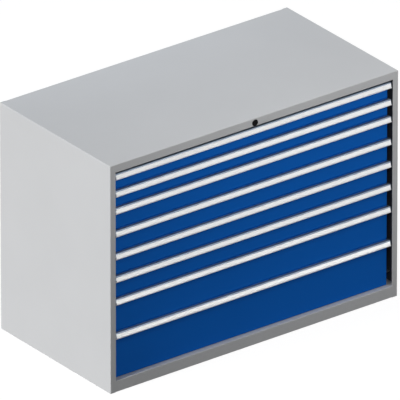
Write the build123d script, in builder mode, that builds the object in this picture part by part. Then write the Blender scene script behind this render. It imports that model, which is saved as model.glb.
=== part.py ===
from build123d import *
import os
from math import atan2, cos, degrees, hypot, radians, sin

# Cabinet in millimetres: X to the right, the front faces -Y, Z up, the floor is z = 0
cabinet_width = 1431.0
cabinet_depth = 725.0
base_height = 50.0
top_rail_height = 35.0
opening_margin = 7.5
# Height taken by each drawer, from the top one down
drawer_pitches = (75.0, 75.0, 100.0, 100.0, 100.0, 100.0, 150.0, 200.0)

# Housing of folded sheet
housing_sheet = 1.5
bend_radius = 3.0
front_flange_width = 26.5
rear_lip = 20.0
base_lip = 40.0
floor_hole_radius = 5.5
floor_hole_inset = 89.0
rear_panel_inset = 3.0
seam_gap = 0.1

# Perforated posts on the side walls
post_depth = 20.0
post_width = 40.0
post_sheet = 2.0
post_bend = 3.0
post_front_setback = 110.0
post_rear_setback = 105.0
post_slot_pitch = 25.0
post_slot_width = 12.0
post_slot_height = 6.0

# Drawer fronts
front_recess = 22.0
front_depth = 27.0
front_sheet = 1.2
front_return = 14.0
front_edge_radius = 1.5
front_top_gap = 2.0
front_low_gap = 0.5
front_sill_gap = 2.0
front_side_gap = 11.0

# Drawer trays
tray_sheet = 1.2
tray_lift = 6.0
tray_headroom = 18.0
tray_rear_gap = 60.0
tray_rim = 8.0

# Runners: a rail on the post, a rail on the tray and a carriage with rollers between them
drawer_travel = 620.0
rail_sheet = 2.0
rail_bend = 2.5
rail_height_above_pitch = 34.0
rail_setback = 13.0
rail_end_gap = 2.0
roller_diameter = 24.0
roller_width = 10.0
roller_edge = 1.0
roller_play = 0.3
roller_reserve = 12.0
roller_end_margin = 3.0
side_play = 0.5
axle_diameter = 8.0
running_clearance = 0.1
carriage_sheet = 4.0
carriage_height = 22.0
carriage_length = 360.0

# Handle extrusion, drawn from the drawer front outwards, and its label strip
handle_side_gap = 4.5
handle_projection = 19.5
handle_wall = 2.5
handle_bend = 3.5
handle_ledge = 13.5
handle_drop = 22.5
handle_lip = 2.0
handle_back = 26.0
label_width = 16.5
label_thickness = 1.2
label_nose_gap = 2.0
label_end_gap = 2.0
label_clearance = 0.2
rib_width = 1.3
rib_height = 1.7

# Lock in the top rail
lock_drop = 19.5
bezel_diameter = 28.0
bezel_thickness = 2.5
bezel_edge_radius = 1.2
barrel_diameter = 19.0
barrel_length = 40.0
barrel_hole_clearance = 0.2
nut_diameter = 25.0
nut_thickness = 4.0
plug_diameter = 13.0
plug_recess = 0.4
keyway_width = 1.8
keyway_height = 8.0
keyway_depth = 7.0
crank_radius = 8.0
crank_swing = 90.0
crank_gap = 0.3
crank_sheet = 3.0
crank_width = 10.0
crank_pin_diameter = 4.0
crank_slot_clearance = 0.6

# Bars that carry the turn of the lock to the drawers
bar_sheet = 3.0
bar_width = 12.0
bar_clearance = 3.0
bar_running_gap = 0.3
bar_stack_gap = 0.5
draw_bar_height = 26.0
draw_bar_tail = 10.0
lift_share = 0.7
lift_pin_diameter = 5.0
lift_pin_rise = 7.2
lift_slot_clearance = 0.4
lift_edge = 4.0
lug_height = 8.0
lug_reach = 10.0
lug_gap = 3.0
lug_clearance = 1.5
lug_seat_gap = 0.05
catch_sheet = 3.0
catch_drop = 10.0
catch_clearance = 2.0
guide_sheet = 2.0
guide_finger = 5.0
guide_lead = 2.0

# How far every cutting shape runs past the surface it cuts
cut_overrun = 5.0

# Places worked out from the sizes above
cabinet_height = base_height + sum(drawer_pitches) + 2 * opening_margin + top_rail_height
front_y = -cabinet_depth / 2
rear_y = cabinet_depth / 2
rail_z = cabinet_height - top_rail_height
opening_half_width = cabinet_width / 2 - front_flange_width
wall_x = cabinet_width / 2 - housing_sheet
post_face_x = wall_x - post_depth
rail_reach = rail_sheet + side_play + roller_width
runner_depth = 2 * rail_reach + 2 * side_play + carriage_sheet
tray_half_width = post_face_x - runner_depth
front_half_width = opening_half_width - front_side_gap
handle_half_width = opening_half_width - handle_side_gap
tray_front_y = front_y + front_recess + front_depth
tray_rear_y = rear_y - housing_sheet - tray_rear_gap
rail_front_y = tray_front_y + rail_setback
rail_length = tray_rear_y - rail_end_gap - rail_front_y
rail_middle_y = rail_front_y + rail_length / 2
rail_height = roller_diameter + 2 * roller_play + 2 * rail_sheet
carriage_x = tray_half_width + rail_reach + side_play
bar_x = carriage_x + carriage_sheet + bar_clearance
bar_y = tray_front_y + lug_gap
catch_z = rail_height / 2 + catch_drop
lock_z = cabinet_height - lock_drop
lift_run = 2 * crank_radius * sin(radians(crank_swing / 2))
lift_rise = lift_share * lift_run
lift_pin_x = bar_x + bar_width / 2
lift_pin_z = rail_z + housing_sheet + lift_pin_rise
pitch_floors = [
    base_height + opening_margin + sum(drawer_pitches[number + 1:])
    for number in range(len(drawer_pitches))
]
front_tops = [floor + pitch - front_top_gap for floor, pitch in zip(pitch_floors, drawer_pitches)]
front_lows = [floor + front_low_gap for floor in pitch_floors[:-1]] + [base_height + front_sill_gap]
rail_levels = [floor + rail_height_above_pitch for floor in pitch_floors]
lug_levels = [level - catch_z - lug_clearance - lug_height / 2 for level in rail_levels]

# Boxes and cylinders that stand on their place
base_align = (Align.CENTER, Align.CENTER, Align.MIN)

# Plane on the lock's axis whose normal points into the cabinet
lock_plane = Plane(origin=(0, front_y, lock_z), x_dir=(1, 0, 0), z_dir=(0, 1, 0))


def upright_plane(y):
    """Plane that faces the front at depth y, drawn in X and Z."""
    return Plane.XZ.offset(-y)


def save(piece, name):
    """Label a finished piece and write its STEP file."""
    piece.part.label = name
    export_step(piece.part, f"parts/{name}.step")


def side_block(inset, reach, radius, overrun):
    """Block of the left side, inset from the outer faces, rounded where the sheet folds."""
    depth = cabinet_depth - housing_sheet - 2 * inset
    height = cabinet_height - inset + overrun
    with BuildPart() as block:
        with Locations((-cabinet_width / 2 + inset, front_y + inset, -overrun)):
            Box(reach, depth, height, align=Align.MIN)
        outer_face = block.faces().sort_by(Axis.X)[0]
        front_face = block.faces().sort_by(Axis.Y)[0]
        outer_edges = outer_face.edges()
        top_front_edge = front_face.edges().sort_by(Axis.Z)[-1]
        fillet([outer_edges.sort_by(Axis.Z)[-1], outer_edges.sort_by(Axis.Y)[0], top_front_edge], radius)
    return block.part


def make_side_panels():
    """Left side sheet folded inwards at the front, top and rear, and its mirror image."""
    skin = side_block(0, front_flange_width, bend_radius, 0)
    hollow_reach = front_flange_width + cut_overrun
    hollow = side_block(housing_sheet, hollow_reach, bend_radius - housing_sheet, cut_overrun)
    with BuildPart() as left_panel:
        add(skin)
        add(hollow, mode=Mode.SUBTRACT)
    with BuildPart() as right_panel:
        mirror(left_panel.part, about=Plane.YZ)
    return left_panel, right_panel


def make_top_panel():
    """Top sheet folded down into the front rail; the rail's lip carries the draw bar."""
    rear_edge_y = rear_y - housing_sheet
    with BuildPart() as panel:
        with BuildSketch(Plane.YZ):
            with BuildLine():
                FilletPolyline(
                    (bar_y - bar_stack_gap, rail_z),
                    (front_y, rail_z),
                    (front_y, cabinet_height),
                    (rear_edge_y, cabinet_height),
                    (rear_edge_y, cabinet_height - rear_lip),
                    radius=bend_radius,
                )
                offset(amount=housing_sheet, side=Side.RIGHT)
            make_face()
        extrude(amount=opening_half_width - seam_gap, both=True)
        with BuildSketch(lock_plane):
            Circle(barrel_diameter / 2 + barrel_hole_clearance)
        extrude(amount=housing_sheet + cut_overrun, both=True, mode=Mode.SUBTRACT)
    return panel


def make_base_frame():
    """Folded base: plinth, sill and floor in one sheet, lips on the floor with the fixing holes."""
    rear_edge_y = rear_y - housing_sheet
    wing_inner_x = opening_half_width - bend_radius
    wing_front_y = front_y + bend_radius
    wing_depth = rear_edge_y - housing_sheet - wing_front_y
    hole_x = opening_half_width - floor_hole_inset
    hole_y = rear_edge_y - base_lip / 2
    with BuildPart() as base:
        with BuildSketch(Plane.YZ):
            with BuildLine():
                FilletPolyline(
                    (front_y + base_lip, 0),
                    (front_y, 0),
                    (front_y, base_height),
                    (rear_edge_y, base_height),
                    (rear_edge_y, 0),
                    (rear_edge_y - base_lip, 0),
                    radius=bend_radius,
                )
                offset(amount=housing_sheet, side=Side.RIGHT)
            make_face()
        extrude(amount=opening_half_width - seam_gap, both=True)
        with Locations((wing_inner_x, wing_front_y, base_height - housing_sheet)):
            Box(wall_x - wing_inner_x, wing_depth, housing_sheet, align=Align.MIN)
        with Locations((-wall_x, wing_front_y, base_height - housing_sheet)):
            Box(wall_x - wing_inner_x, wing_depth, housing_sheet, align=Align.MIN)
        with BuildSketch():
            with GridLocations(2 * hole_x, 2 * hole_y, 2, 2):
                Circle(floor_hole_radius)
        extrude(amount=housing_sheet + cut_overrun, both=True, mode=Mode.SUBTRACT)
    return base


def make_rear_panel():
    """Flat rear sheet on the back of the side panels' flanges."""
    with BuildPart() as panel:
        with BuildSketch(upright_plane(rear_y)):
            with Locations((0, cabinet_height / 2)):
                RectangleRounded(
                    cabinet_width - 2 * rear_panel_inset,
                    cabinet_height - 2 * rear_panel_inset,
                    bend_radius,
                )
        extrude(amount=housing_sheet)
    return panel


def make_runner_posts():
    """Four channel posts against the side walls, with a column of slots in each web."""
    middles = (front_y + post_front_setback, rear_y - post_rear_setback)
    height = rail_z - base_height
    slot_count = int(height // post_slot_pitch)
    with BuildPart() as posts:
        with BuildSketch(Plane.XY.offset(base_height)):
            for middle in middles:
                with BuildLine():
                    FilletPolyline(
                        (wall_x, middle - post_width / 2),
                        (post_face_x, middle - post_width / 2),
                        (post_face_x, middle + post_width / 2),
                        (wall_x, middle + post_width / 2),
                        radius=post_bend,
                    )
                    offset(amount=post_sheet, side=Side.RIGHT)
                make_face()
        extrude(amount=height)
        with BuildSketch(Plane.YZ.offset(post_face_x)):
            for middle in middles:
                with Locations((middle, base_height + height / 2)):
                    with GridLocations(post_slot_pitch, post_slot_pitch, 1, slot_count):
                        Rectangle(post_slot_width, post_slot_height)
        extrude(amount=post_sheet + cut_overrun, both=True, mode=Mode.SUBTRACT)
        mirror(about=Plane.YZ)
    return posts


def make_cabinet_rails():
    """Channel rails on the posts, open towards the drawers, one pair for each drawer."""
    with BuildPart() as rails:
        with BuildSketch(upright_plane(rail_middle_y)):
            for level in rail_levels:
                with BuildLine():
                    FilletPolyline(
                        (post_face_x - rail_reach, level + rail_height / 2),
                        (post_face_x, level + rail_height / 2),
                        (post_face_x, level - rail_height / 2),
                        (post_face_x - rail_reach, level - rail_height / 2),
                        radius=rail_bend,
                    )
                    offset(amount=rail_sheet, side=Side.RIGHT)
                make_face()
        extrude(amount=rail_length / 2, both=True)
        mirror(about=Plane.YZ)
    return rails


def make_drawer_rails(number):
    """Pair of channel rails on a tray, open outwards; the right one ends in the lock's catch."""
    level = rail_levels[number]
    catch_reach = bar_x - catch_clearance - tray_half_width
    with BuildPart() as rails:
        with BuildSketch(upright_plane(rail_middle_y)):
            with BuildLine():
                FilletPolyline(
                    (tray_half_width + rail_reach, level + rail_height / 2),
                    (tray_half_width, level + rail_height / 2),
                    (tray_half_width, level - rail_height / 2),
                    (tray_half_width + rail_reach, level - rail_height / 2),
                    radius=rail_bend,
                )
                offset(amount=rail_sheet, side=Side.LEFT)
            make_face()
        extrude(amount=rail_length / 2, both=True)
        mirror(about=Plane.YZ)
        with Locations((tray_half_width, rail_front_y - catch_sheet, level - catch_z)):
            Box(catch_reach, catch_sheet, catch_z + rail_height / 2, align=Align.MIN)
    return rails


def make_carriage(number):
    """Pair of carriage plates with riveted axles and rollers that run in both rails."""
    level = rail_levels[number]
    plate_middle_x = carriage_x + carriage_sheet / 2
    roller_shift = carriage_sheet / 2 + side_play + roller_width / 2
    near_reach = (drawer_travel - rail_length) / 2 + roller_diameter / 2 + roller_reserve
    far_reach = carriage_length / 2 - roller_diameter / 2 - roller_end_margin
    reaches = (near_reach, far_reach)
    inner_places = [(plate_middle_x - roller_shift, rail_middle_y - reach, level) for reach in reaches]
    outer_places = [(plate_middle_x + roller_shift, rail_middle_y + reach, level) for reach in reaches]
    places = inner_places + outer_places
    axle_length = roller_shift + roller_width / 2
    with BuildPart() as carriage:
        with Locations(*places):
            Cylinder(roller_diameter / 2, roller_width, rotation=(0, 90, 0))
        chamfer(carriage.edges().filter_by(GeomType.CIRCLE), roller_edge)
        with Locations(*places):
            Cylinder(
                axle_diameter / 2 + running_clearance,
                roller_width + cut_overrun,
                rotation=(0, 90, 0),
                mode=Mode.SUBTRACT,
            )
        with Locations((plate_middle_x, rail_middle_y, level)):
            Box(carriage_sheet, carriage_length, carriage_height)
        with Locations(*[(plate_middle_x, y, z) for _, y, z in inner_places]):
            Cylinder(axle_diameter / 2, axle_length, rotation=(0, -90, 0), align=base_align)
        with Locations(*[(plate_middle_x, y, z) for _, y, z in outer_places]):
            Cylinder(axle_diameter / 2, axle_length, rotation=(0, 90, 0), align=base_align)
        mirror(about=Plane.YZ)
    return carriage


def make_tray(number):
    """Open sheet tray with a turned-out rim along each side."""
    floor = pitch_floors[number] + tray_lift
    height = drawer_pitches[number] - tray_lift - tray_headroom
    depth = tray_rear_y - tray_front_y
    middle_y = (tray_rear_y + tray_front_y) / 2
    with BuildPart() as tray:
        with Locations((0, middle_y, floor)):
            Box(2 * tray_half_width, depth, height, align=base_align)
        with Locations((0, middle_y, floor + tray_sheet)):
            Box(
                2 * (tray_half_width - tray_sheet),
                depth - 2 * tray_sheet,
                height,
                align=base_align,
                mode=Mode.SUBTRACT,
            )
        with Locations((tray_half_width, tray_front_y, floor + height - tray_sheet)):
            Box(tray_rim, depth, tray_sheet, align=Align.MIN)
        with Locations((-tray_half_width - tray_rim, tray_front_y, floor + height - tray_sheet)):
            Box(tray_rim, depth, tray_sheet, align=Align.MIN)
    return tray


def make_front(number):
    """Drawer front: a sheet pan with rounded edges, returned behind to a lip that sits on the tray."""
    height = front_tops[number] - front_lows[number]
    middle_z = (front_tops[number] + front_lows[number]) / 2
    middle_y = front_y + front_recess + front_depth / 2
    with BuildPart() as front:
        with Locations((0, middle_y, middle_z)):
            Box(2 * front_half_width, front_depth, height)
        fillet(front.faces().sort_by(Axis.Y)[0].edges(), front_edge_radius)
        with Locations((0, middle_y, middle_z)):
            Box(
                2 * (front_half_width - front_sheet),
                front_depth - 2 * front_sheet,
                height - 2 * front_sheet,
                mode=Mode.SUBTRACT,
            )
        with Locations((0, middle_y + front_sheet, middle_z)):
            Box(
                2 * (front_half_width - front_return),
                front_depth,
                height - 2 * front_return,
                mode=Mode.SUBTRACT,
            )
    return front


def handle_frame(number):
    """Face of a drawer front, top and nose of its handle and the angle of the label slope."""
    face_y = front_y + front_recess
    top_z = front_tops[number] - front_edge_radius
    slope_run = handle_projection - handle_ledge
    nose = (face_y - handle_projection, top_z - handle_drop)
    return face_y, top_z, nose, atan2(handle_drop, slope_run)


def slope_point(nose, angle, along, height):
    """Point in Y and Z at a distance along the slope from the nose and a height above its face."""
    y = nose[0] + along * cos(angle) - height * sin(angle)
    z = nose[1] + along * sin(angle) + height * cos(angle)
    return y, z


def make_handle(number):
    """Extruded grip: back plate, ledge, sloping label face between two ribs, and a lip to pull on."""
    face_y, top_z, nose, angle = handle_frame(number)
    rib_shift = label_clearance + rib_width / 2
    rib_places = (label_nose_gap - rib_shift, label_nose_gap + label_width + rib_shift)
    with BuildPart() as handle:
        with BuildSketch(Plane.YZ):
            with BuildLine():
                FilletPolyline(
                    (face_y, top_z - handle_back),
                    (face_y, top_z),
                    (face_y - handle_ledge, top_z),
                    nose,
                    (nose[0], nose[1] - handle_lip),
                    radius=(0, handle_bend, handle_bend),
                )
                offset(amount=handle_wall, side=Side.LEFT)
            make_face()
            for along in rib_places:
                with Locations(slope_point(nose, angle, along, (rib_height - handle_wall / 2) / 2)):
                    Rectangle(rib_width, rib_height + handle_wall / 2, rotation=degrees(angle))
        extrude(amount=handle_half_width, both=True)
    return handle


def make_label(number):
    """Label strip that lies on the slope between the handle's ribs."""
    _, _, nose, angle = handle_frame(number)
    middle = label_nose_gap + label_width / 2
    with BuildPart() as label:
        with BuildSketch(Plane.YZ):
            with Locations(slope_point(nose, angle, middle, label_thickness / 2)):
                Rectangle(label_width, label_thickness, rotation=degrees(angle))
        extrude(amount=handle_half_width - label_end_gap, both=True)
    return label


def make_lock_barrel():
    """Lock barrel with its bezel in front of the top rail and a ring nut behind it."""
    bore = plug_diameter / 2 + running_clearance
    with BuildPart() as barrel:
        with BuildSketch(lock_plane):
            Circle(barrel_diameter / 2)
            Circle(bore, mode=Mode.SUBTRACT)
        extrude(amount=barrel_length)
        with BuildSketch(lock_plane):
            Circle(bezel_diameter / 2)
            Circle(bore, mode=Mode.SUBTRACT)
        extrude(amount=-bezel_thickness)
        bezel_edges = barrel.faces().sort_by(Axis.Y)[0].edges()
        fillet(bezel_edges.sort_by(SortBy.RADIUS)[-1], bezel_edge_radius)
        with BuildSketch(lock_plane.offset(housing_sheet)):
            Circle(nut_diameter / 2)
            Circle(barrel_diameter / 2 + running_clearance, mode=Mode.SUBTRACT)
        extrude(amount=nut_thickness)
    return barrel


def make_lock_plug():
    """Turning plug with a keyway in front and a crank and pin at the back, shown unlocked."""
    front_setback = plug_recess - bezel_thickness
    crank_setback = barrel_length + crank_gap
    pin_end_setback = bar_y - front_y
    pin_x = crank_radius * sin(radians(crank_swing / 2))
    pin_y = crank_radius * cos(radians(crank_swing / 2))
    with BuildPart() as plug:
        with BuildSketch(lock_plane.offset(front_setback)):
            Circle(plug_diameter / 2)
        extrude(amount=crank_setback - front_setback)
        with BuildSketch(lock_plane.offset(front_setback)):
            Rectangle(keyway_width, keyway_height)
        extrude(amount=keyway_depth, mode=Mode.SUBTRACT)
        with BuildSketch(lock_plane.offset(crank_setback)):
            with Locations((pin_x / 2, pin_y / 2)):
                SlotCenterToCenter(crank_radius, crank_width, rotation=degrees(atan2(pin_y, pin_x)))
        extrude(amount=crank_sheet)
        with BuildSketch(lock_plane.offset(crank_setback + crank_sheet)):
            with Locations((pin_x, pin_y)):
                Circle(crank_pin_diameter / 2)
        extrude(amount=pin_end_setback - bar_stack_gap - crank_setback - crank_sheet)
    return plug


def make_draw_bar():
    """Bar that the crank slides sideways on the rail's lip; its sloping slot lifts the locking bar."""
    bar_bottom = rail_z + housing_sheet + bar_running_gap
    half_swing = radians(crank_swing / 2)
    crank_x = crank_radius * sin(half_swing)
    crank_high_z = lock_z - crank_radius * cos(half_swing)
    crank_low_z = lock_z - crank_radius
    crank_slot_width = crank_pin_diameter + 2 * crank_slot_clearance
    lift_slot_width = lift_pin_diameter + 2 * lift_slot_clearance
    bar_end_x = lift_pin_x + lift_run + lift_slot_width / 2 + lift_edge
    back_y = bar_y - bar_stack_gap
    with BuildPart() as bar:
        with BuildSketch(upright_plane(back_y)):
            with Locations((-draw_bar_tail, bar_bottom)):
                Rectangle(draw_bar_tail + bar_end_x, draw_bar_height, align=Align.MIN)
            with Locations((crank_x, (crank_high_z + crank_low_z) / 2)):
                SlotCenterToCenter(
                    crank_high_z - crank_low_z,
                    crank_slot_width,
                    rotation=90,
                    mode=Mode.SUBTRACT,
                )
            with Locations((lift_pin_x + lift_run / 2, lift_pin_z + lift_rise / 2)):
                SlotCenterToCenter(
                    hypot(lift_run, lift_rise),
                    lift_slot_width,
                    rotation=degrees(atan2(lift_rise, lift_run)),
                    mode=Mode.SUBTRACT,
                )
        extrude(amount=bar_sheet)
    return bar


def make_locking_bar():
    """Upright bar with a pin in the draw bar's slot and a riveted lug below each drawer's catch."""
    bottom = lug_levels[-1] - lug_height / 2
    top = lift_pin_z + lift_pin_diameter / 2 + lift_edge
    pin_length = 2 * bar_stack_gap + bar_sheet
    with BuildPart() as bar:
        with BuildSketch(upright_plane(bar_y)):
            with Locations((bar_x, bottom)):
                Rectangle(bar_width, top - bottom, align=Align.MIN)
            with Locations(*[(bar_x - lug_seat_gap - lug_reach / 2, level) for level in lug_levels]):
                Rectangle(lug_reach, lug_height)
        extrude(amount=-bar_sheet)
        with BuildSketch(upright_plane(bar_y)):
            with Locations((lift_pin_x, lift_pin_z)):
                Circle(lift_pin_diameter / 2)
        extrude(amount=pin_length)
    return bar


def make_bar_guides():
    """Two notched plates on the right wall that hold the locking bar upright."""
    guide_x = bar_x + guide_lead
    notch_width = bar_sheet + 2 * bar_running_gap
    notch_length = bar_x + bar_width + bar_running_gap - guide_x + cut_overrun
    depth = notch_width + 2 * guide_finger
    middle_y = bar_y + bar_sheet / 2
    with BuildPart() as guides:
        for level in (rail_levels[0], rail_levels[-1]):
            with Locations((guide_x, middle_y - depth / 2, level)):
                Box(wall_x - guide_x, depth, guide_sheet, align=Align.MIN)
        with BuildSketch(Plane.XY.offset(rail_levels[-1])):
            with Locations((guide_x - cut_overrun, middle_y - notch_width / 2)):
                Rectangle(notch_length, notch_width, align=Align.MIN)
        extrude(amount=rail_levels[0] - rail_levels[-1] + guide_sheet, mode=Mode.SUBTRACT)
    return guides


os.makedirs("parts", exist_ok=True)
left_side_panel, right_side_panel = make_side_panels()
save(left_side_panel, "left_side_panel")
save(right_side_panel, "right_side_panel")
save(make_top_panel(), "top_panel")
save(make_base_frame(), "base_frame")
save(make_rear_panel(), "rear_panel")
save(make_runner_posts(), "runner_posts")
save(make_cabinet_rails(), "cabinet_rails")
save(make_lock_barrel(), "lock_barrel")
save(make_lock_plug(), "lock_plug")
save(make_draw_bar(), "draw_bar")
save(make_locking_bar(), "locking_bar")
save(make_bar_guides(), "bar_guides")
for number in range(len(drawer_pitches)):
    drawer = f"drawer_{number + 1}"
    save(make_tray(number), f"{drawer}_tray")
    save(make_front(number), f"{drawer}_front")
    save(make_handle(number), f"{drawer}_handle")
    save(make_label(number), f"{drawer}_label")
    save(make_drawer_rails(number), f"{drawer}_rails")
    save(make_carriage(number), f"{drawer}_carriage")
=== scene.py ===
import logging
import math
from dataclasses import dataclass
from enum import Enum

import bmesh
import bpy
from mathutils import Matrix, Vector


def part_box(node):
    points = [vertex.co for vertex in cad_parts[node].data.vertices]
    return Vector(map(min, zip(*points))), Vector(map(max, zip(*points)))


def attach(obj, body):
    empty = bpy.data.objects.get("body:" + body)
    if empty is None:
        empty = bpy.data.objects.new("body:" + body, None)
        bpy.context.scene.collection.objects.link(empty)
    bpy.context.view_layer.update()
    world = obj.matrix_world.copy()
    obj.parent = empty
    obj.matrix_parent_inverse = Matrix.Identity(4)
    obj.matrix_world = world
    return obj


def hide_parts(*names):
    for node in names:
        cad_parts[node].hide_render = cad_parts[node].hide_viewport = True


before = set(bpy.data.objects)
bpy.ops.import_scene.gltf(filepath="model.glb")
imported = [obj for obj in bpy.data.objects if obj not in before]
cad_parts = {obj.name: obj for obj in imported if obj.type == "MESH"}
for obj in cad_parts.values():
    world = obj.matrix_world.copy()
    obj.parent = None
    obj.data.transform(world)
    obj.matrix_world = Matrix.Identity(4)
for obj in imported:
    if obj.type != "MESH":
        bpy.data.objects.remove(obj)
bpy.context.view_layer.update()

log = logging.getLogger("cabinet")

Triple = tuple[float, float, float]
Socket = bpy.types.NodeSocket

DRAWER_COUNT = 8
ORIGIN = (0.0, 0.0, 0.0)
EVEN = (1.0, 1.0, 1.0)
WHITE = (1.0, 1.0, 1.0)
OPAQUE = 1.0
NOISE_LOW = 0.25
NOISE_HIGH = 0.75
GRID_HALF = 0.5


class Side(Enum):
    """Which side wall a piece belongs to, seen from the front."""

    LEFT = -1
    RIGHT = 1


class Axis(Enum):
    """A coordinate of the row frame."""

    X = 0
    Y = 1
    Z = 2


class LampKind(Enum):
    """Kinds of lamp that light the studio."""

    SUN = "SUN"
    AREA = "AREA"


class ShaderSheet:
    """Node tree of one material, with short calls for the nodes that the finishes share."""

    def __init__(self, name: str) -> None:
        """Start a material that holds only its surface shader.

        Args:
            name: Name of the material.
        """
        self.material = bpy.data.materials.new(name)
        self.material.use_nodes = True
        self.tree = self.material.node_tree
        self.shader = self.tree.nodes["Principled BSDF"]

    def node(self, kind: str) -> bpy.types.Node:
        """Add a node of that kind."""
        return self.tree.nodes.new(kind)

    def link(self, source: Socket, target: Socket) -> None:
        """Join two sockets."""
        self.tree.links.new(source, target)

    def place(self, stretch: Triple = EVEN) -> Socket:
        """Object coordinates, stretched along the axes.

        Args:
            stretch: Factor on each coordinate; a small one draws the pattern out along that axis.

        Returns:
            The socket with the coordinates.
        """
        coordinates = self.node("ShaderNodeTexCoord")
        mapping = self.node("ShaderNodeMapping")
        mapping.inputs["Scale"].default_value = stretch
        self.link(coordinates.outputs["Object"], mapping.inputs["Vector"])
        return mapping.outputs["Vector"]

    def along(self, axis: Axis) -> Socket:
        """One object coordinate.

        Args:
            axis: Which one.

        Returns:
            The socket with its value in metres.
        """
        split = self.node("ShaderNodeSeparateXYZ")
        self.link(self.place(), split.inputs["Vector"])
        return split.outputs[axis.value]

    def maths(self, operation: str, first: Socket, second: Socket | float = 0.0) -> Socket:
        """One step of arithmetic.

        Args:
            operation: Blender's name of the operation.
            first: Its first operand.
            second: Its second operand, a socket or a number.

        Returns:
            The socket with the result.
        """
        step = self.node("ShaderNodeMath")
        step.operation = operation
        self.link(first, step.inputs[0])
        if isinstance(second, float):
            step.inputs[1].default_value = second
        else:
            self.link(second, step.inputs[1])
        return step.outputs["Value"]

    def noise(self, vector: Socket, size: float, detail: float) -> Socket:
        """Soft noise with lumps of about the given size.

        Args:
            vector: Coordinates to read.
            size: Size of the lumps in metres.
            detail: Octaves of finer noise on top.

        Returns:
            The socket with values around one half.
        """
        texture = self.node("ShaderNodeTexNoise")
        texture.inputs["Scale"].default_value = 1.0 / size
        texture.inputs["Detail"].default_value = detail
        self.link(vector, texture.inputs["Vector"])
        return texture.outputs["Fac"]

    def spread(self, value: Socket, low: float, high: float) -> Socket:
        """Noise values brought into a range.

        Args:
            value: Noise with values around one half.
            low: Result for the darkest noise.
            high: Result for the brightest noise.

        Returns:
            The socket with the result.
        """
        ramp = self.node("ShaderNodeMapRange")
        ramp.inputs["From Min"].default_value = NOISE_LOW
        ramp.inputs["From Max"].default_value = NOISE_HIGH
        ramp.inputs["To Min"].default_value = low
        ramp.inputs["To Max"].default_value = high
        self.link(value, ramp.inputs["Value"])
        return ramp.outputs["Result"]

    def tint(self, value: Socket, colour: Triple, share: float) -> None:
        """Base colour that wanders a little round its mean.

        Args:
            value: Noise with values around one half.
            colour: Mean colour.
            share: How far it goes to each side, as a share of the colour.
        """
        mix = self.node("ShaderNodeMix")
        mix.data_type = "RGBA"
        mix.inputs["A"].default_value = (*shade(colour, 1.0 - share), OPAQUE)
        mix.inputs["B"].default_value = (*shade(colour, 1.0 + share), OPAQUE)
        self.link(self.spread(value, 0.0, 1.0), mix.inputs["Factor"])
        self.link(mix.outputs["Result"], self.shader.inputs["Base Color"])

    def gloss(self, value: Socket, roughness: float, share: float) -> None:
        """Roughness that wanders a little round its mean.

        Args:
            value: Noise with values around one half.
            roughness: Mean roughness.
            share: How far it goes to each side, as a share of the roughness.
        """
        rough = self.spread(value, roughness * (1.0 - share), roughness * (1.0 + share))
        self.link(rough, self.shader.inputs["Roughness"])

    def relief(self, height: Socket, depth: float) -> None:
        """Bump from a height, on top of the bumps that are there already.

        Args:
            height: Height of the surface, from zero to one.
            depth: What a height of one measures, in metres.
        """
        bump = self.node("ShaderNodeBump")
        bump.inputs["Distance"].default_value = depth
        self.link(height, bump.inputs["Height"])
        target = self.shader.inputs["Normal"]
        if target.is_linked:
            self.link(target.links[0].from_socket, bump.inputs["Normal"])
        self.link(bump.outputs["Normal"], target)


def shade(colour: Triple, factor: float) -> Triple:
    """A colour made lighter or darker by a factor."""
    return tuple(channel * factor for channel in colour)


def background_rays(tree: bpy.types.NodeTree) -> Socket:
    """One for rays that show the background: from the camera, off gloss or through glass.

    Args:
        tree: Node tree to add to.

    Returns:
        The socket with zero or one.
    """
    path = tree.nodes.new("ShaderNodeLightPath")
    total = path.outputs["Is Camera Ray"]
    for name in ("Is Glossy Ray", "Is Transmission Ray"):
        larger = tree.nodes.new("ShaderNodeMath")
        larger.operation = "MAXIMUM"
        tree.links.new(total, larger.inputs[0])
        tree.links.new(path.outputs[name], larger.inputs[1])
        total = larger.outputs["Value"]
    return total


@dataclass(frozen=True)
class PowderCoat:
    """Baked powder paint with a fine orange peel.

    Sizes and depths are in metres, shares are of the mean, and details are octaves of noise.
    """

    name: str
    colour: Triple
    roughness: float
    specular: float
    cloud_size: float = 0.35
    cloud_detail: float = 3.0
    cloud_share: float = 0.018
    speck_size: float = 0.0007
    speck_detail: float = 1.0
    rough_share: float = 0.1
    peel_size: float = 0.0022
    peel_detail: float = 2.0
    peel_depth: float = 0.00002

    def sheet(self) -> ShaderSheet:
        """Lay the paint on a fresh shader sheet.

        Returns:
            The sheet, to which a coat with more to it can add.
        """
        sheet = ShaderSheet(self.name)
        place = sheet.place()
        clouds = sheet.noise(place, self.cloud_size, self.cloud_detail)
        sheet.tint(clouds, self.colour, self.cloud_share)
        specks = sheet.noise(place, self.speck_size, self.speck_detail)
        sheet.gloss(specks, self.roughness, self.rough_share)
        sheet.relief(sheet.noise(place, self.peel_size, self.peel_detail), self.peel_depth)
        sheet.shader.inputs["Specular IOR Level"].default_value = self.specular
        return sheet

    def material(self) -> bpy.types.Material:
        """Build the paint's material."""
        return self.sheet().material


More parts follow.
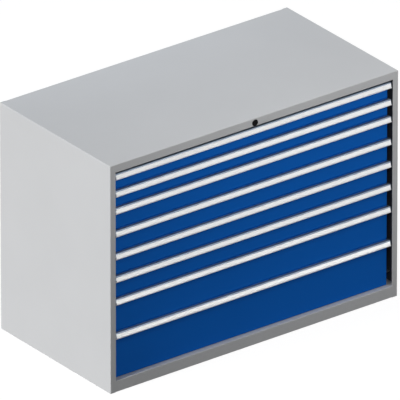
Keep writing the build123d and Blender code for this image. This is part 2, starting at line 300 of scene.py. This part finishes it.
@dataclass(frozen=True)
class WeldedCoat(PowderCoat):
    """Powder paint over a flat sheet with a row of spot welds along each edge, in metres."""

    half_width: float = 0.7
    low_z: float = 0.014
    high_z: float = 0.986
    pitch: float = 0.09
    weld_radius: float = 0.004
    weld_depth: float = 0.0004

    def row(self, sheet: ShaderSheet, axis: Axis, across: Axis, line: float) -> Socket:
        """Dimples at a pitch along one straight line.

        Args:
            sheet: Shader sheet to add to.
            axis: Direction of the line.
            across: Coordinate that is the same all along the line.
            line: Value of that coordinate.

        Returns:
            The socket with one on the sheet and zero in the middle of a dimple.
        """
        run = sheet.maths("PINGPONG", sheet.along(axis), self.pitch / 2)
        rise = sheet.maths("SUBTRACT", sheet.along(across), line)
        square = sheet.maths("ADD", sheet.maths("MULTIPLY", run, run), sheet.maths("MULTIPLY", rise, rise))
        ramp = sheet.node("ShaderNodeMapRange")
        ramp.interpolation_type = "SMOOTHSTEP"
        ramp.inputs["From Min"].default_value = self.weld_radius / 2
        ramp.inputs["From Max"].default_value = self.weld_radius
        sheet.link(sheet.maths("SQRT", square), ramp.inputs["Value"])
        return ramp.outputs["Result"]

    def material(self) -> bpy.types.Material:
        """Build the paint's material with the welds under it.

        Returns:
            The material.
        """
        sheet = self.sheet()
        rows = (
            (Axis.X, Axis.Z, self.low_z),
            (Axis.X, Axis.Z, self.high_z),
            (Axis.Z, Axis.X, -self.half_width),
            (Axis.Z, Axis.X, self.half_width),
        )
        for axis, across, line in rows:
            sheet.relief(self.row(sheet, axis, across, line), self.weld_depth)
        return sheet.material


@dataclass(frozen=True)
class DrawnMetal:
    """Bare or plated metal with lines drawn along one axis.

    Sizes and depths are in metres, shares are of the mean, and details are octaves of noise.
    """

    name: str
    colour: Triple
    roughness: float
    line_stretch: Triple = EVEN
    line_size: float = 0.0006
    line_detail: float = 3.0
    line_depth: float = 0.000008
    cloud_size: float = 0.06
    cloud_detail: float = 4.0
    cloud_share: float = 0.06
    rough_share: float = 0.2

    def material(self) -> bpy.types.Material:
        """Build the metal's material.

        Returns:
            The material.
        """
        sheet = ShaderSheet(self.name)
        lines = sheet.noise(sheet.place(self.line_stretch), self.line_size, self.line_detail)
        clouds = sheet.noise(sheet.place(), self.cloud_size, self.cloud_detail)
        sheet.tint(clouds, self.colour, self.cloud_share)
        sheet.gloss(lines, self.roughness, self.rough_share)
        sheet.relief(lines, self.line_depth)
        sheet.shader.inputs["Metallic"].default_value = 1.0
        return sheet.material


@dataclass(frozen=True)
class MouldedPlastic:
    """Moulded plastic with a fine grain.

    Sizes and depths are in metres, shares are of the mean, and details are octaves of noise.
    """

    name: str
    colour: Triple
    roughness: float
    specular: float = 0.4
    grain_size: float = 0.0008
    grain_detail: float = 2.0
    grain_depth: float = 0.00001
    cloud_size: float = 0.016
    cloud_detail: float = 3.0
    cloud_share: float = 0.06
    rough_share: float = 0.15

    def material(self) -> bpy.types.Material:
        """Build the plastic's material.

        Returns:
            The material.
        """
        sheet = ShaderSheet(self.name)
        grain = sheet.noise(sheet.place(), self.grain_size, self.grain_detail)
        clouds = sheet.noise(sheet.place(), self.cloud_size, self.cloud_detail)
        sheet.tint(clouds, self.colour, self.cloud_share)
        sheet.gloss(grain, self.roughness, self.rough_share)
        sheet.relief(grain, self.grain_depth)
        sheet.shader.inputs["Specular IOR Level"].default_value = self.specular
        return sheet.material


@dataclass(frozen=True)
class CoveredPaper:
    """Blank card under a clear film.

    Sizes and depths are in metres, shares are of the mean, and details are octaves of noise.
    """

    name: str
    colour: Triple
    roughness: float = 0.55
    fibre_size: float = 0.0012
    fibre_detail: float = 4.0
    fibre_stretch: Triple = (0.35, 1.0, 1.0)
    fibre_depth: float = 0.000004
    cloud_share: float = 0.012
    rough_share: float = 0.1
    film_roughness: float = 0.1

    def material(self) -> bpy.types.Material:
        """Build the card's material.

        Returns:
            The material.
        """
        sheet = ShaderSheet(self.name)
        fibres = sheet.noise(sheet.place(self.fibre_stretch), self.fibre_size, self.fibre_detail)
        sheet.tint(fibres, self.colour, self.cloud_share)
        sheet.gloss(fibres, self.roughness, self.rough_share)
        sheet.relief(fibres, self.fibre_depth)
        sheet.shader.inputs["Coat Weight"].default_value = 1.0
        sheet.shader.inputs["Coat Roughness"].default_value = self.film_roughness
        return sheet.material


@dataclass
class Palette:
    """One material of each finish on the cabinet, and a dark grey that paints the shade in the recesses."""

    housing: bpy.types.Material
    primer: bpy.types.Material
    rear: bpy.types.Material
    front: bpy.types.Material
    tray: bpy.types.Material
    handle: bpy.types.Material
    nose: bpy.types.Material
    label: bpy.types.Material
    zinc: bpy.types.Material
    nylon: bpy.types.Material
    lock: bpy.types.Material

    @classmethod
    def mixed(cls) -> "Palette":
        """Build every finish once.

        Returns:
            The palette with all the materials.
        """
        grey = (0.615, 0.622, 0.632)
        along_x = (0.02, 1.0, 1.0)
        return cls(
            housing=PowderCoat("housing_paint", grey, roughness=0.68, specular=0.25).material(),
            # Painted shade: a dark grey on the side panels' inner walls that stands in for the shade in the
            # recesses behind the flanges; the real inside is the housing's grey.
            primer=PowderCoat("inside_primer", (0.1, 0.11, 0.14), roughness=0.7, specular=0.1).material(),
            rear=WeldedCoat("rear_paint", grey, roughness=0.68, specular=0.25).material(),
            front=PowderCoat("front_paint", (0.002, 0.14, 0.61), roughness=0.42, specular=0.06).material(),
            tray=PowderCoat("tray_paint", (0.55, 0.56, 0.57), roughness=0.45, specular=0.3).material(),
            handle=DrawnMetal("handle_aluminium", (0.24, 0.29, 0.36), roughness=0.55,
                              line_stretch=along_x).material(),
            nose=MouldedPlastic("handle_nose", (0.9, 0.915, 0.915), roughness=0.35).material(),
            label=CoveredPaper("label_card", (0.94, 0.955, 0.955)).material(),
            zinc=DrawnMetal("zinc_steel", (0.62, 0.62, 0.6), roughness=0.42).material(),
            nylon=MouldedPlastic("roller_nylon", (0.75, 0.74, 0.70), roughness=0.4).material(),
            lock=MouldedPlastic("lock_black", (0.008, 0.008, 0.009), roughness=0.45,
                                specular=0.03).material(),
        )


def paint_node(name: str, *materials: bpy.types.Material) -> bpy.types.Object:
    """Give a node of the frame its materials.

    Args:
        name: Name of the node.
        materials: Materials for its slots; every face starts on the first.

    Returns:
        The node's object.
    """
    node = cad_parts[name]
    node.data.materials.clear()
    for material in materials:
        node.data.materials.append(material)
    log.info("%s dressed in %s", name, ", ".join(material.name for material in materials))
    return node


def ease_edges(mesh: bmesh.types.BMesh, edges: list[bmesh.types.BMEdge], radius: float, steps: int) -> None:
    """Round edges off.

    Args:
        mesh: Mesh that the edges belong to.
        edges: Edges to round.
        radius: How far the rounding reaches from each edge, in metres.
        steps: Faces across each rounding.
    """
    bmesh.ops.bevel(mesh, geom=edges, offset=radius, offset_type="OFFSET", segments=steps,
                    profile=0.5, affect="EDGES", material=-1)


def add_piece(name: str, mesh: bmesh.types.BMesh, material: bpy.types.Material) -> bpy.types.Object:
    """Turn a finished bmesh into an object at the origin.

    Args:
        name: Name of the piece.
        mesh: The piece's shape in the row frame.
        material: Its finish.

    Returns:
        The new object.
    """
    data = bpy.data.meshes.new(name)
    bmesh.ops.recalc_face_normals(mesh, faces=mesh.faces)
    mesh.to_mesh(data)
    mesh.free()
    data.materials.append(material)
    piece = bpy.data.objects.new(name, data)
    bpy.context.scene.collection.objects.link(piece)
    return piece


@dataclass
class Housing:
    """Folded sheet shell of the cabinet and what is fixed inside it.

    Attributes:
        sides: Side panels, with painted shade on their inner walls.
        sheets: Other sheets in the housing's paint.
        rear: Rear panel with its spot welds.
        fittings: Plated steel inside.
        wall_reach: How deep under a panel's outer face its inner wall is looked for, in metres.
    """

    sides: tuple[str, ...] = ("left_side_panel", "right_side_panel")
    sheets: tuple[str, ...] = ("top_panel", "base_frame")
    rear: str = "rear_panel"
    fittings: tuple[str, ...] = ("runner_posts", "cabinet_rails", "bar_guides")
    wall_reach: float = 0.004

    def dress(self, palette: Palette) -> None:
        """Paint the sheets and plate the fittings.

        Args:
            palette: The cabinet's finishes.
        """
        for name in self.sides:
            self.dress_side(name, palette)
        for name in self.sheets:
            paint_node(name, palette.housing)
        paint_node(self.rear, palette.rear)
        for name in self.fittings:
            paint_node(name, palette.zinc)

    def dress_side(self, name: str, palette: Palette) -> None:
        """Paint a side panel outside and paint its inner wall dark grey as painted shade for the recess
        behind the flange.

        Args:
            name: Name of the panel.
            palette: The cabinet's finishes.
        """
        node = paint_node(name, palette.housing, palette.primer)
        wall_x = max(abs(corner.x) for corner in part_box(name)) - self.wall_reach
        # Inner faces of the outer wall take the painted shade.
        for face in node.data.polygons:
            inward = face.normal.x * face.center.x < 0
            face.material_index = int(inward and abs(face.center.x) > wall_x)


@dataclass
class Lock:
    """Key lock in the top rail with the bars that it moves.

    Attributes:
        bars: Plated bars behind the rail.
        keyway_reach: How deep the plug is black behind the rail's face, in metres.
    """

    bars: tuple[str, ...] = ("draw_bar", "locking_bar")
    keyway_reach: float = 0.012

    def dress(self, palette: Palette) -> None:
        """Black where the lock shows in front, plated behind the rail.

        Args:
            palette: The cabinet's finishes.
        """
        rail_face_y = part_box("top_panel")[0].y
        self.split("lock_barrel", rail_face_y, palette)
        self.split("lock_plug", rail_face_y + self.keyway_reach, palette)
        for name in self.bars:
            paint_node(name, palette.zinc)

    def split(self, name: str, depth: float, palette: Palette) -> None:
        """Blacken a node's faces in front of a depth and plate the rest.

        Args:
            name: Name of the node.
            depth: Where the plating starts, as a Y coordinate.
            palette: The cabinet's finishes.
        """
        node = paint_node(name, palette.lock, palette.zinc)
        for face in node.data.polygons:
            face.material_index = int(face.center.y > depth)


@dataclass
class SlottedTray:
    """Open sheet tray whose walls have rows of slots for dividers, in metres.

    Attributes:
        number: Number of the drawer, from the top.
        sheet: Thickness of the sheet.
        rim: How far the rims stick out at the sides.
        slot_pitch: Distance from slot to slot along a wall.
        slot_width: Width of a slot.
        slot_length: Length that a slot comes close to.
        low_margin: Plain sheet below the lowest row of slots.
        high_margin: Plain sheet above the highest row of slots.
        end_margin: Least plain sheet at the ends of a wall.
        bridge: Plain sheet between two rows of slots.
        edge: Radius on the edges of the floor and the rims.
        edge_steps: Faces across that radius.
    """

    number: int
    sheet: float = 0.0012
    rim: float = 0.008
    slot_pitch: float = 0.017
    slot_width: float = 0.004
    slot_length: float = 0.06
    low_margin: float = 0.012
    high_margin: float = 0.010
    end_margin: float = 0.012
    bridge: float = 0.012
    edge: float = 0.0003
    edge_steps: int = 2

    @property
    def node(self) -> str:
        """Name of the plain tray in the frame."""
        return f"drawer_{self.number}_tray"

    def columns(self, length: float) -> list[float]:
        """Upright cuts across a wall: its ends and both sides of every slot.

        Args:
            length: Length of the wall.

        Returns:
            Places along the wall from zero to its length.
        """
        room = length - 2 * self.end_margin - self.slot_width
        count = int(room // self.slot_pitch) + 1
        first = (length - (count - 1) * self.slot_pitch - self.slot_width) / 2
        places = [0.0]
        for number in range(count):
            start = first + number * self.slot_pitch
            places += [start, start + self.slot_width]
        return places + [length]

    def rows(self, height: float) -> list[float]:
        """Level cuts up a wall: its edges and both ends of every row of slots.

        Args:
            height: Height of the wall.

        Returns:
            Places up the wall from zero to its height.
        """
        room = height - self.low_margin - self.high_margin
        count = max(1, round(room / (self.slot_length + self.bridge)))
        step = (room + self.bridge) / count
        places = [0.0]
        for number in range(count):
            start = self.low_margin + number * step
            places += [start, start + step - self.bridge]
        return places + [height]

    @staticmethod
    def is_slot(centre: Vector, columns: list[float], rows: list[float]) -> bool:
        """Whether a wall's face is one of its slots, which are every second one both ways.

        Args:
            centre: Middle of the face.
            columns: Upright cuts across the wall.
            rows: Level cuts up the wall.

        Returns:
            True for a slot.
        """
        column = sum(place < centre.x for place in columns)
        row = sum(place < centre.z for place in rows)
        return column % 2 == 0 and row % 2 == 0

    def add_wall(self, mesh: bmesh.types.BMesh, length: float, height: float, where: Matrix) -> None:
        """Add one slotted wall.

        Args:
            mesh: The tray's mesh.
            length: Length of the wall, along the local X axis.
            height: Height of the wall, along the local Z axis.
            where: Place of the wall's lower outer corner; its thickness runs along the local Y axis.
        """
        columns = self.columns(length)
        rows = self.rows(height)
        across, up = len(columns) - 1, len(rows) - 1
        made = bmesh.ops.create_grid(mesh, x_segments=across, y_segments=up, size=GRID_HALF)
        for vertex in made["verts"]:
            column = round((vertex.co.x + GRID_HALF) * across)
            row = round((vertex.co.y + GRID_HALF) * up)
            vertex.co = Vector((columns[column], 0.0, rows[row]))
        faces = list(dict.fromkeys(face for vertex in made["verts"] for face in vertex.link_faces))
        slots = [face for face in faces if self.is_slot(face.calc_center_median(), columns, rows)]
        bmesh.ops.delete(mesh, geom=slots, context="FACES_ONLY")
        kept = [face for face in faces if face.is_valid]
        grown = bmesh.ops.extrude_face_region(mesh, geom=kept)["geom"]
        moved = [item for item in grown if isinstance(item, bmesh.types.BMVert)]
        bmesh.ops.translate(mesh, verts=moved, vec=(0.0, self.sheet, 0.0))
        stayed = [vertex for vertex in made["verts"] if vertex.is_valid]
        bmesh.ops.transform(mesh, matrix=where, verts=stayed + moved)

    def add_plate(self, mesh: bmesh.types.BMesh, low: Vector, high: Vector) -> None:
        """Add a flat plate that fills a box, with its edges eased.

        Args:
            mesh: The tray's mesh.
            low: Lowest corner of the box.
            high: Highest corner of the box.
        """
        where = Matrix.Translation((low + high) / 2) @ Matrix.Diagonal((*(high - low), 1.0))
        made = bmesh.ops.create_cube(mesh, size=1.0, matrix=where)
        edges = list(dict.fromkeys(edge for vertex in made["verts"] for edge in vertex.link_edges))
        ease_edges(mesh, edges, self.edge, self.edge_steps)

    def add_walls(self, mesh: bmesh.types.BMesh, low: Vector, high: Vector) -> None:
        """Add the four slotted walls: left, right, front and back.

        Args:
            mesh: The tray's mesh.
            low: Lowest corner of the tray.
            high: Highest corner of the tray.
        """
        half = high.x - self.rim
        inner = half - self.sheet
        height = high.z - low.z
        depth = high.y - low.y
        quarter = Matrix.Rotation(math.pi / 2, 4, "Z")
        self.add_wall(mesh, depth, height, Matrix.Translation((-inner, low.y, low.z)) @ quarter)
        self.add_wall(mesh, depth, height, Matrix.Translation((half, low.y, low.z)) @ quarter)
        self.add_wall(mesh, 2 * inner, height, Matrix.Translation((-inner, low.y, low.z)))
        self.add_wall(mesh, 2 * inner, height, Matrix.Translation((-inner, high.y - self.sheet, low.z)))

    def add_floor(self, mesh: bmesh.types.BMesh, low: Vector, high: Vector) -> None:
        """Add the floor between the walls.

        Args:
            mesh: The tray's mesh.
            low: Lowest corner of the tray.
            high: Highest corner of the tray.
        """
        inner = high.x - self.rim - self.sheet
        floor_low = Vector((-inner, low.y + self.sheet, low.z))
        floor_high = Vector((inner, high.y - self.sheet, low.z + self.sheet))
        self.add_plate(mesh, floor_low, floor_high)

    def add_rims(self, mesh: bmesh.types.BMesh, low: Vector, high: Vector) -> None:
        """Add the rims along the tops of the side walls.

        Args:
            mesh: The tray's mesh.
            low: Lowest corner of the tray.
            high: Highest corner of the tray.
        """
        half = high.x - self.rim
        for side in Side:
            low_x, high_x = sorted((side.value * half, side.value * high.x))
            rim_low = Vector((low_x, low.y, high.z - self.sheet))
            rim_high = Vector((high_x, high.y, high.z))
            self.add_plate(mesh, rim_low, rim_high)

    def build(self, palette: Palette) -> None:
        """Build the tray in place of the plain one.

        Args:
            palette: The cabinet's finishes.
        """
        low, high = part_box(self.node)
        mesh = bmesh.new()
        self.add_walls(mesh, low, high)
        self.add_floor(mesh, low, high)
        self.add_rims(mesh, low, high)
        tray = add_piece(f"{self.node}_slotted", mesh, palette.tray)
        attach(tray, f"drawer_{self.number}")
        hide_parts(self.node)
        log.info("%s built with %d faces", tray.name, len(tray.data.polygons))


@dataclass
class LabelStrip:
    """Blank strip under a clear cover on the handle's face, in metres.

    Attributes:
        number: Number of the drawer, from the top.
        face_run: How far the handle's face runs back over its height.
        face_drop: Height of the handle's face.
        width: Width of the strip, up the face.
        thickness: Thickness of the strip.
        edge: Radius on the strip's edges.
        edge_steps: Faces across that radius.
    """

    number: int
    face_run: float = 0.006
    face_drop: float = 0.0225
    width: float = 0.0165
    thickness: float = 0.0012
    edge: float = 0.0004
    edge_steps: int = 3

    @property
    def node(self) -> str:
        """Name of the plain strip in the frame."""
        return f"drawer_{self.number}_label"

    def build(self, palette: Palette) -> None:
        """Build the strip in place of the plain one.

        Args:
            palette: The cabinet's finishes.
        """
        low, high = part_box(self.node)
        lean = math.atan2(self.face_drop, self.face_run)
        where = Matrix.Translation((low + high) / 2) @ Matrix.Rotation(lean, 4, "X")
        size = Matrix.Diagonal((high.x - low.x, self.width, self.thickness, 1.0))
        mesh = bmesh.new()
        bmesh.ops.create_cube(mesh, size=1.0, matrix=size)
        ease_edges(mesh, mesh.edges[:], self.edge, self.edge_steps)
        bmesh.ops.transform(mesh, matrix=where, verts=mesh.verts)
        strip = add_piece(f"{self.node}_strip", mesh, palette.label)
        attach(strip, f"drawer_{self.number}")
        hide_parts(self.node)
        log.info("%s built", strip.name)


@dataclass
class Carriage:
    """Pair of plates with rollers between the rails of one drawer, in metres.

    Attributes:
        number: Number of the drawer, from the top.
        plate_sheet: Thickness of a plate.
        plate_half_height: Half of a plate's height.
        roller_width: Width of a roller.
        side_play: Gap between a roller and its plate.
        axle_radius: Radius within which a face belongs to an axle.
        crown_width: Distance along the carriage within which high corners belong to one roller.
    """

    number: int
    plate_sheet: float = 0.004
    plate_half_height: float = 0.011
    roller_width: float = 0.010
    side_play: float = 0.0005
    axle_radius: float = 0.0042
    crown_width: float = 0.010

    def dress(self, palette: Palette) -> None:
        """Plate the metal and give the rollers their plastic.

        Args:
            palette: The cabinet's finishes.
        """
        node = paint_node(f"drawer_{self.number}_carriage", palette.zinc, palette.nylon)
        low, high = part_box(node.name)
        level = (low.z + high.z) / 2
        plate_x = high.x - self.roller_width - self.side_play - self.plate_sheet / 2
        off_plate = (self.plate_sheet + self.side_play) / 2
        corners = [vertex.co for vertex in node.data.vertices]
        axles = self.axle_places(corners, level)
        for face in node.data.polygons:
            beside = abs(abs(face.center.x) - plate_x) > off_plate
            reach = max(self.axle_distance(corners[i], axles, level) for i in face.vertices)
            face.material_index = int(beside and reach > self.axle_radius)

    def axle_places(self, corners: list[Vector], level: float) -> list[float]:
        """Where the rollers' axles are, read from the rollers' highest corners.

        Args:
            corners: Corners of the carriage's mesh.
            level: Height of the axles.

        Returns:
            Places along the carriage.
        """
        clear = level + self.plate_half_height + self.side_play
        crowns: list[list[float]] = []
        for place in sorted(corner.y for corner in corners if corner.z > clear):
            if crowns and place - crowns[-1][0] < self.crown_width:
                crowns[-1].append(place)
            else:
                crowns.append([place])
        return [(crown[0] + crown[-1]) / 2 for crown in crowns]

    @staticmethod
    def axle_distance(corner: Vector, axles: list[float], level: float) -> float:
        """Distance of a corner from the nearest axle."""
        return min(math.hypot(corner.y - place, corner.z - level) for place in axles)


@dataclass
class Drawer:
    """One drawer: tray, front, handle, label and runners.

    Attributes:
        number: Number of the drawer, from the top.
        nose_depth: How far back from the handle's front its white nose goes, in metres.
        nose_lap: How far up behind the label's lower edge the nose goes, in metres.
    """

    number: int
    nose_depth: float = 0.006
    nose_lap: float = 0.001

    def build(self, palette: Palette) -> None:
        """Build the drawer's own meshes."""
        SlottedTray(self.number).build(palette)
        LabelStrip(self.number).build(palette)

    def dress(self, palette: Palette) -> None:
        """Finish the drawer's nodes.

        Args:
            palette: The cabinet's finishes.
        """
        paint_node(f"drawer_{self.number}_front", palette.front)
        self.dress_handle(palette)
        paint_node(f"drawer_{self.number}_rails", palette.zinc)
        Carriage(self.number).dress(palette)

    def dress_handle(self, palette: Palette) -> None:
        """Anodise the handle and give its nose, below the label, a white edge.

        Args:
            palette: The cabinet's finishes.
        """
        node = paint_node(f"drawer_{self.number}_handle", palette.handle, palette.nose)
        nose_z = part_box(f"drawer_{self.number}_label")[0].z + self.nose_lap
        nose_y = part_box(node.name)[0].y + self.nose_depth
        for face in node.data.polygons:
            face.material_index = int(face.center.z < nose_z and face.center.y < nose_y)


@dataclass(frozen=True)
class Lamp:
    """One lamp that looks at a point.

    Attributes:
        name: Name of the lamp.
        kind: Sun or rectangular area.
        place: Where it hangs, in metres.
        aim: The point that it looks at, in metres.
        energy: Strength of a sun, or watts of an area.
        angle: Angle that a sun fills in the sky, in radians.
        sides: Width and height of an area, in metres.
        colour: Colour of its light.
    """

    name: str
    kind: LampKind
    place: Triple
    aim: Triple
    energy: float
    angle: float = 0.0
    sides: tuple[float, float] = (1.0, 1.0)
    colour: Triple = WHITE

    def build(self) -> None:
        """Hang the lamp in the scene."""
        data = bpy.data.lights.new(self.name, self.kind.value)
        data.energy = self.energy
        data.color = self.colour
        if self.kind is LampKind.SUN:
            data.angle = self.angle
        else:
            data.shape = "RECTANGLE"
            data.size, data.size_y = self.sides
        lamp = bpy.data.objects.new(self.name, data)
        lamp.location = self.place
        lamp.rotation_euler = (Vector(self.aim) - Vector(self.place)).to_track_quat("-Z", "Y").to_euler()
        bpy.context.scene.collection.objects.link(lamp)


@dataclass
class Studio:
    """Pale floor, soft lamps, white world and the camera.

    Attributes:
        floor_reach: Half of the floor's side, in metres.
        floor_segments: Faces along each side of the floor.
        floor_grey: How much light the floor gives back to the object.
        floor_glow: How bright the floor is to look at.
        ambient: Strength of the world's light on the object.
        azimuth: Camera's angle to the right of the front, in radians.
        elevation: Camera's angle above the horizon, in radians.
        target: Point in the middle of the picture, in metres.
        picture_width: Width of the picture at that point, in metres.
        lens: Focal length of the camera, in millimetres.
        sensor: Width of the camera's sensor, in millimetres.
        clip_factor: How far the camera sees, in distances to the target.
        lamps: The lamps, in the order in which they are hung.
    """

    floor_reach: float = 60.0
    floor_segments: int = 4
    floor_grey: float = 0.13
    floor_glow: float = 0.93
    ambient: float = 0.03
    azimuth: float = math.radians(-37.23)
    elevation: float = math.radians(26.36)
    target: Triple = (0.0030, 0.0, 0.4966)
    picture_width: float = 1.5880
    lens: float = 1650.0
    sensor: float = 36.0
    clip_factor: float = 3.0
    lamps: tuple[Lamp, ...] = (
        Lamp("key", LampKind.SUN, place=(-4.1, 0.1, 1.8), aim=ORIGIN,
             energy=3.16, angle=math.radians(20.0)),
        Lamp("fill", LampKind.AREA, place=(0.35, -1.46, 1.65), aim=(0.35, -0.36, 0.7),
             energy=9.8, sides=(2.4, 0.8)),
        Lamp("front", LampKind.AREA, place=(3.07, -5.38, 0.43), aim=(0.0, -0.36, 0.43),
             energy=36.0, sides=(2.3, 0.86)),
        Lamp("left_front", LampKind.AREA, place=(2.43, -5.72, 0.43), aim=(-0.5, -0.36, 0.43),
             energy=4.5, sides=(0.8, 0.86)),
        Lamp("low_front", LampKind.AREA, place=(3.07, -5.33, 0.07), aim=(0.0, -0.31, 0.07),
             energy=9.0, sides=(2.3, 0.14)),
        Lamp("far", LampKind.SUN, place=(4.0, 3.0, 0.0), aim=ORIGIN,
             energy=3.0, angle=math.radians(12.0)),
        Lamp("upper", LampKind.AREA, place=(0.06, 2.0, 2.6), aim=(0.0, 0.1, 0.9),
             energy=22.0, sides=(1.5, 1.0), colour=(0.9, 0.98, 1.08)),
    )

    def build_world(self) -> None:
        """World that is white to look at and lights the object softly."""
        world = bpy.data.worlds.new("studio")
        world.use_nodes = True
        tree = world.node_tree
        soft = tree.nodes["Background"]
        soft.inputs["Color"].default_value = (*WHITE, OPAQUE)
        soft.inputs["Strength"].default_value = self.ambient
        white = tree.nodes.new("ShaderNodeBackground")
        white.inputs["Color"].default_value = (*WHITE, OPAQUE)
        mix = tree.nodes.new("ShaderNodeMixShader")
        tree.links.new(background_rays(tree), mix.inputs["Fac"])
        tree.links.new(soft.outputs["Background"], mix.inputs[1])
        tree.links.new(white.outputs["Background"], mix.inputs[2])
        tree.links.new(mix.outputs["Shader"], tree.nodes["World Output"].inputs["Surface"])
        bpy.context.scene.world = world

    def build_floor(self) -> None:
        """Large pale floor that keeps a light shadow."""
        sheet = ShaderSheet("studio_floor")
        sheet.shader.inputs["Base Color"].default_value = (*shade(WHITE, self.floor_grey), OPAQUE)
        sheet.shader.inputs["Roughness"].default_value = 1.0
        sheet.shader.inputs["Specular IOR Level"].default_value = 0.0
        sheet.shader.inputs["Emission Color"].default_value = (*WHITE, OPAQUE)
        glow = sheet.maths("MULTIPLY", background_rays(sheet.tree), self.floor_glow)
        sheet.link(glow, sheet.shader.inputs["Emission Strength"])
        mesh = bmesh.new()
        bmesh.ops.create_grid(mesh, x_segments=self.floor_segments, y_segments=self.floor_segments,
                              size=self.floor_reach)
        add_piece("studio_floor", mesh, sheet.material)

    def build_camera(self) -> None:
        """Camera at the photograph's angle, from so far away that edges stay nearly parallel."""
        data = bpy.data.cameras.new("camera")
        data.lens = self.lens
        data.sensor_width = self.sensor
        distance = self.picture_width / self.sensor * self.lens
        data.clip_end = self.clip_factor * distance
        flat = math.cos(self.elevation)
        across, along = math.sin(self.azimuth) * flat, -math.cos(self.azimuth) * flat
        back = Vector((across, along, math.sin(self.elevation)))
        camera = bpy.data.objects.new("camera", data)
        camera.location = Vector(self.target) + distance * back
        camera.rotation_euler = (-back).to_track_quat("-Z", "Y").to_euler()
        bpy.context.scene.collection.objects.link(camera)
        bpy.context.scene.camera = camera

    def build(self) -> None:
        """Build the whole studio."""
        bpy.context.scene.view_settings.view_transform = "Standard"
        self.build_world()
        self.build_floor()
        for lamp in self.lamps:
            lamp.build()
        self.build_camera()


def main() -> None:
    """Build and dress the cabinet, then the studio round it."""
    logging.basicConfig(level=logging.INFO, format="%(name)s: %(message)s")
    palette = Palette.mixed()
    Housing().dress(palette)
    Lock().dress(palette)
    for number in range(1, DRAWER_COUNT + 1):
        drawer = Drawer(number)
        drawer.build(palette)
        drawer.dress(palette)
    Studio().build()


if __name__ == "__main__":
    main()
